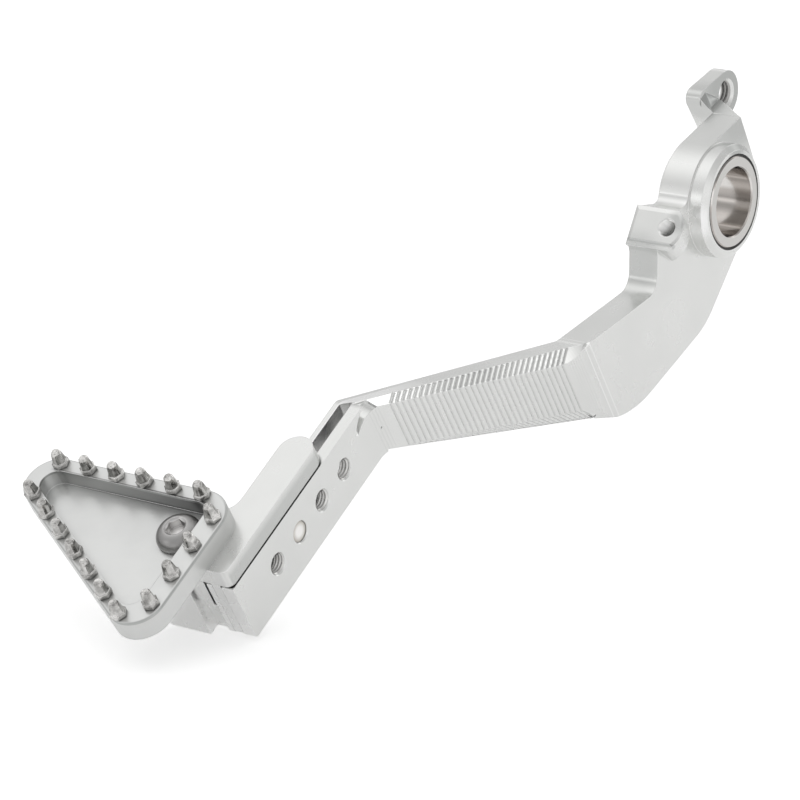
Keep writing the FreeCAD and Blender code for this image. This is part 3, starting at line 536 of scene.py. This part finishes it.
def rubberMaterial(name, finish):
    mat, tree, shader = newMaterial(name)
    coords = addNode(tree, "ShaderNodeTexCoord", (-900, 0))
    grain = placeGroup(tree, grainGroup, (-600, 0), Position=coords.outputs["Object"])
    tint = addNode(tree, "ShaderNodeMix", (-300, 200), data_type="RGBA")
    tint.inputs["A"].default_value = (*finish["dark"], 1)
    tint.inputs["B"].default_value = (*finish["light"], 1)
    tree.links.new(grain.outputs["Drift"], tint.inputs["Factor"])
    tree.links.new(tint.outputs["Result"], shader.inputs["Base Color"])
    shader.inputs["Roughness"].default_value = finish["roughness"]
    bump = addNode(tree, "ShaderNodeBump", (0, -250))
    bump.inputs["Distance"].default_value = finish["grainDepth"] * mm
    tree.links.new(grain.outputs["Height"], bump.inputs["Height"])
    tree.links.new(bump.outputs["Normal"], shader.inputs["Normal"])
    return mat


armMetal = metalMaterial("armAluminium", blastedAluminium, armMarks)
carrierMetal = metalMaterial("carrierAluminium", blastedAluminium, carrierMarks)
padMetal = metalMaterial("padAluminium", padAluminium, padMarks)
studMetal = metalMaterial("studSteel", studSteel)
screwMetal = metalMaterial("screwSteel", screwSteel, screwMarks)
carrierScrewMetal = metalMaterial("carrierScrewSteel", carrierScrewSteel, carrierScrewMarks)
sleeveMetal = metalMaterial("sleeveSteel", sleeveSteel, sleeveMarks)
threadMetal = metalMaterial("threadAluminium", threadAluminium)
earThreadMetal = metalMaterial("earThreadInShade", earThreadInShade)
lugThreadMetal = metalMaterial("lugThreadLit", lugThreadLit)
sealRubber = rubberMaterial("sealRubber", sealNitrile)


def finishNode(name, material):
    node = nodes[name]
    node.data.materials.clear()
    node.data.materials.append(material)


finishNode("lever_arm", armMetal)
finishNode("pad_carrier", carrierMetal)
finishNode("toe_pad", padMetal)
finishNode("pivot_sleeve", sleeveMetal)
finishNode("pad_screw", screwMetal)
finishNode("carrier_screw", carrierScrewMetal)
for sealName in ("dust_seal_inboard", "dust_seal_outboard"):
    finishNode(sealName, sealRubber)
print("nodes finished")


def tailPoint(along, inboard, across):
    return alongTail * along + acrossTail * across + Vector((0, inboard, 0))


# tapped holes, in millimetres: a thin ring in each hole carries the thread that the solid leaves out
threadForm = {"around": 72, "rowsPerTurn": 12, "skin": 0.02, "clear": 0.03, "flank": 2.6, "flat": 0.15}
tailThread = {
    "inward": (0, -1, 0), "depth": 4.2, "rootRadius": 3.0, "crestRadius": 2.5, "mouthRadius": 3.35,
    "pitch": 1.0, "through": True,
}
# the third hole of the row holds the carrier's screw
tailRow = {
    "first": 189.72, "spacing": 12.0, "face": -7.35, "height": 72.4, "turns": {1: 0.1, 2: 0.45, 4: 0.8},
}
tappedHoles = {}
for number, turn in tailRow["turns"].items():
    along = tailRow["first"] + tailRow["spacing"] * (number - 1)
    mouth = tailPoint(along, tailRow["face"], tailRow["height"])
    tappedHoles["tail_thread_%d" % number] = dict(tailThread, mouth=mouth, turn=turn, metal=threadMetal)
tappedHoles["ear_thread"] = {
    "mouth": (-30.6, -21.45, 27.2), "inward": (0, -1, 0), "depth": 5.2, "rootRadius": 4.0,
    "crestRadius": 3.35, "mouthRadius": 4.85, "pitch": 1.25, "turn": 0.3, "through": True,
    "metal": earThreadMetal,
}
tappedHoles["lug_thread"] = {
    "mouth": (33.723, -4.5, -2.297), "inward": (-0.86, 0, -0.5103), "depth": 9.0, "rootRadius": 3.0,
    "crestRadius": 2.5, "mouthRadius": 3.0, "pitch": 1.0, "turn": 0.0, "through": False,
    "metal": lugThreadMetal,
}


def threadRing(name, hole):
    inward = Vector(hole["inward"]).normalized()
    side = inward.orthogonal().normalized()
    other = inward.cross(side)
    mouth = Vector(hole["mouth"])
    root, crest, pitch = hole["rootRadius"], hole["crestRadius"], hole["pitch"]
    around, skin, clear = threadForm["around"], threadForm["skin"], threadForm["clear"]
    start = hole["mouthRadius"] - root + clear
    end = hole["depth"] - (start if hole["through"] else skin + clear)
    rows = int((end - start) / (pitch / threadForm["rowsPerTurn"]))
    angles = np.linspace(0, 2 * np.pi, around, endpoint=False)
    depths = np.linspace(start, end, rows + 1)
    phase = (depths[:, None] / pitch - angles[None, :] / (2 * np.pi) + hole["turn"]) % 1.0
    # 0 on the crest, 1 in the root
    ridge = np.clip(np.abs(phase - 0.5) * threadForm["flank"] - threadForm["flat"], 0, 1)
    radius = crest + (root - clear - crest) * ridge
    radius = np.maximum(radius, hole["mouthRadius"] - depths[:, None])
    if hole["through"]:
        radius = np.maximum(radius, hole["mouthRadius"] - (hole["depth"] - depths[:, None]))
    radius = np.minimum(radius, root - skin)
    verts = []
    for row, depth in enumerate(depths):
        centre = mouth + inward * float(depth)
        for k, angle in enumerate(angles):
            spoke = side * math.cos(angle) + other * math.sin(angle)
            verts.append((centre + spoke * float(radius[row, k])) * mm)
    for depth in (depths[-1], depths[0]):
        centre = mouth + inward * float(depth)
        for angle in angles:
            spoke = side * math.cos(angle) + other * math.sin(angle)
            verts.append((centre + spoke * (root + skin)) * mm)
    faces = []
    ringCount = len(depths) + 2
    rings = [[row * around + k for k in range(around)] for row in range(ringCount)]
    for row in range(ringCount):
        low, high = rings[row], rings[(row + 1) % ringCount]
        for k in range(around):
            faces.append((low[k], low[(k + 1) % around], high[(k + 1) % around], high[k]))
    mesh = bpy.data.meshes.new(name)
    mesh.from_pydata([tuple(v) for v in verts], [], faces)
    work = bmesh.new()
    work.from_mesh(mesh)
    bmesh.ops.recalc_face_normals(work, faces=work.faces)
    work.to_mesh(mesh)
    work.free()
    for face in mesh.polygons:
        face.use_smooth = True
    mesh.materials.append(hole["metal"])
    piece = bpy.data.objects.new(name, mesh)
    bpy.context.scene.collection.objects.link(piece)
    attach(piece, "lever")


for holeName, hole in tappedHoles.items():
    threadRing(holeName, hole)
print("threads cut")


# grip studs, in millimetres: a hexagonal foot and a blunt tapering body on the pad's rim
gripStud = {
    "seat": 94.2,
    # height, half width, and roundness from 0, hexagonal, to 1, round
    "profile": [
        (-4.0, 1.15, 1.0), (-0.05, 1.15, 1.0), (0.0, 2.02, 0.05), (0.14, 2.15, 0.0), (1.28, 2.15, 0.0),
        (1.5, 1.96, 0.25), (1.52, 1.84, 0.35), (1.66, 1.80, 0.35), (2.6, 1.66, 0.4), (3.6, 1.51, 0.45),
        (4.4, 1.38, 0.5), (4.62, 1.31, 0.6), (4.95, 1.10, 0.8), (5.16, 0.92, 0.9), (5.18, 0.78, 1.0),
        (5.10, 0.60, 1.0),
    ],
    # first and last place of each row, along the tail and inboard, and its number of studs
    "rows": [
        ((224.775, -24.495), (224.775, -74.0), 6),
        ((231.325, -16.70), (262.835, -16.70), 4),
        ((236.865, -75.525), (268.455, -23.775), 7),
    ],
    "around": 48, "fullness": 1.03, "sharpAngle": 28, "twistStep": 23,
}


def studMesh(name, place):
    mesh = bpy.data.meshes.new(name)
    around = gripStud["around"]
    verts, faces = [], []
    for height, half, roundness in gripStud["profile"]:
        for k in range(around):
            angle = 2 * math.pi * k / around
            corner = math.cos((angle % (math.pi / 3)) - math.pi / 6)
            radius = half * ((1 - roundness) / corner + roundness * gripStud["fullness"])
            point = Vector((radius * math.cos(angle), radius * math.sin(angle), height))
            verts.append(place @ (point * mm))
    rings = len(gripStud["profile"])
    for row in range(rings - 1):
        low, high = row * around, (row + 1) * around
        for k in range(around):
            k2 = (k + 1) % around
            faces.append((low + k, low + k2, high + k2, high + k))
    faces.append(tuple(reversed(range(around))))
    faces.append(tuple((rings - 1) * around + k for k in range(around)))
    mesh.from_pydata(verts, [], faces)
    for face in mesh.polygons:
        face.use_smooth = True
    mesh.set_sharp_from_angle(angle=math.radians(gripStud["sharpAngle"]))
    mesh.materials.append(studMetal)
    return mesh


def placeStuds():
    number = 0
    axes = Matrix((alongTail, Vector((0, 1, 0)), acrossTail)).transposed()
    for (s0, y0), (s1, y1), count in gripStud["rows"]:
        for k in range(count):
            number += 1
            part = k / (count - 1)
            seat = tailPoint(s0 + (s1 - s0) * part, y0 + (y1 - y0) * part, gripStud["seat"]) * mm
            twist = Matrix.Rotation(math.radians((number * gripStud["twistStep"]) % 60), 3, "Z")
            place = Matrix.Translation(seat) @ (axes @ twist).to_4x4()
            name = "gripStud%02d" % number
            stud = bpy.data.objects.new(name, studMesh(name, place))
            bpy.context.scene.collection.objects.link(stud)
            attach(stud, "lever")
            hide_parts("grip_stud_%02d" % number)


placeStuds()
print("studs set")


# floor and light tent, in metres
studio = {
    "floorDrop": 0.0005, "floorSize": 8.0, "floorColour": (0.90, 0.90, 0.90),
    "floorGlow": 0.40, "floorGlowInMetal": 0.16,
    "base": 0.61,
    # direction, tightness and strength of each soft light in the tent; a negative one is a dark flag
    "lobes": [
        ((0.25, -0.50, 0.83), 7.0, 0.52), ((0.81, -0.55, 0.18), 150.0, 1.6), ((0.35, 0.90, 0.22), 8.0, 0.42),
        ((-0.85, -0.18, 0.49), 60.0, 1.15), ((-0.85, 0.20, 0.49), 60.0, 0.80),
        ((-0.83, 0.46, 0.31), 80.0, 0.80), ((-0.83, 0.54, 0.13), 110.0, 0.90),
        ((-0.45, -0.05, 0.88), 20.0, -0.25), ((-1.0, -0.10, -0.08), 30.0, -0.20),
        ((-0.85, -0.34, 0.42), 80.0, 0.80), ((-0.72, 0.68, 0.13), 110.0, 0.50),
        ((-0.40, -0.55, 0.73), 8.0, 0.14),
    ],
}
topSoftbox = {"place": (0.1, 0.1, 1.3), "target": (0.1, 0.0, 0.0), "size": (1.2, 0.9), "power": 1.2}

# the photograph's camera, in metres, with its right, up and back directions
photoCamera = {
    "place": (0.9651, 0.5481, 0.2561),
    "right": (-0.57407, 0.81881, 0.0),
    "up": (-0.22841, -0.16014, 0.96031),
    "back": (0.78631, 0.55128, 0.27895),
    "lens": 162.0, "sensorWidth": 36.0, "clipStart": 0.05, "clipEnd": 60.0,
}


def makeFloor():
    size = studio["floorSize"]
    height = cadBox[0][2] - studio["floorDrop"]
    mesh = bpy.data.meshes.new("floor")
    corners = [(-size, -size, height), (size, -size, height), (size, size, height), (-size, size, height)]
    mesh.from_pydata(corners, [], [(0, 1, 2, 3)])
    floor = bpy.data.objects.new("floor", mesh)
    bpy.context.scene.collection.objects.link(floor)
    mat, tree, shader = newMaterial("floorPaper")
    shader.inputs["Base Color"].default_value = (*studio["floorColour"], 1)
    shader.inputs["Roughness"].default_value = 0.9
    shader.inputs["Specular IOR Level"].default_value = 0.0
    paths = addNode(tree, "ShaderNodeLightPath", (-400, 300))
    seen = mathNode(tree, "MULTIPLY", paths.outputs["Is Camera Ray"], studio["floorGlow"], (-200, 300))
    mirrored = mathNode(tree, "MAXIMUM", paths.outputs["Is Glossy Ray"],
                        paths.outputs["Is Transmission Ray"], (-200, 100))
    glow = mathNode(tree, "MULTIPLY", mirrored, studio["floorGlowInMetal"], (0, 100))
    both = mathNode(tree, "ADD", seen, glow, (150, 200))
    shader.inputs["Emission Color"].default_value = (1, 1, 1, 1)
    tree.links.new(both, shader.inputs["Emission Strength"])
    mesh.materials.append(mat)


# a light tent: even all round, with a few broad soft lights, and white where the camera sees it
def makeWorld():
    world = bpy.data.worlds.new("studio")
    bpy.context.scene.world = world
    world.use_nodes = True
    tree = world.node_tree
    tree.nodes.clear()
    out = addNode(tree, "ShaderNodeOutputWorld", (600, 0))
    background = addNode(tree, "ShaderNodeBackground", (400, 0))
    tree.links.new(background.outputs["Background"], out.inputs["Surface"])
    background.inputs["Color"].default_value = (1, 1, 1, 1)
    coords = addNode(tree, "ShaderNodeTexCoord", (-900, 0))
    total = studio["base"]
    for index, (direction, tightness, strength) in enumerate(studio["lobes"]):
        dot = addNode(tree, "ShaderNodeVectorMath", (-700, -200 * index), operation="DOT_PRODUCT")
        tree.links.new(coords.outputs["Generated"], dot.inputs[0])
        dot.inputs[1].default_value = Vector(direction).normalized()
        front = mathNode(tree, "MAXIMUM", dot.outputs["Value"], 0.0, (-500, -200 * index))
        shaped = mathNode(tree, "POWER", front, tightness, (-350, -200 * index))
        lit = mathNode(tree, "MULTIPLY", shaped, strength, (-200, -200 * index))
        total = mathNode(tree, "ADD", lit, total, (-50, -200 * index))
    paths = addNode(tree, "ShaderNodeLightPath", (-50, 300))
    strength = mathNode(tree, "MAXIMUM", total, paths.outputs["Is Camera Ray"], (200, 0))
    tree.links.new(strength, background.inputs["Strength"])


def makeLamp(name, lamp):
    light = bpy.data.lights.new(name, "AREA")
    light.shape = "RECTANGLE"
    light.size, light.size_y = lamp["size"]
    light.energy = lamp["power"]
    softbox = bpy.data.objects.new(name, light)
    bpy.context.scene.collection.objects.link(softbox)
    softbox.location = lamp["place"]
    down = Vector(lamp["target"]) - Vector(lamp["place"])
    softbox.rotation_euler = down.to_track_quat("-Z", "Y").to_euler()


def makeCamera():
    data = bpy.data.cameras.new("photoCamera")
    data.lens = photoCamera["lens"]
    data.sensor_width = photoCamera["sensorWidth"]
    data.clip_start = photoCamera["clipStart"]
    data.clip_end = photoCamera["clipEnd"]
    camera = bpy.data.objects.new("photoCamera", data)
    bpy.context.scene.collection.objects.link(camera)
    turn = Matrix((photoCamera["right"], photoCamera["up"], photoCamera["back"])).transposed().to_4x4()
    camera.matrix_world = Matrix.Translation(photoCamera["place"]) @ turn
    bpy.context.scene.camera = camera


makeFloor()
makeWorld()
makeLamp("topSoftbox", topSoftbox)
makeCamera()
bpy.context.scene.view_settings.view_transform = "Standard"
print("stage, lamps and camera set")
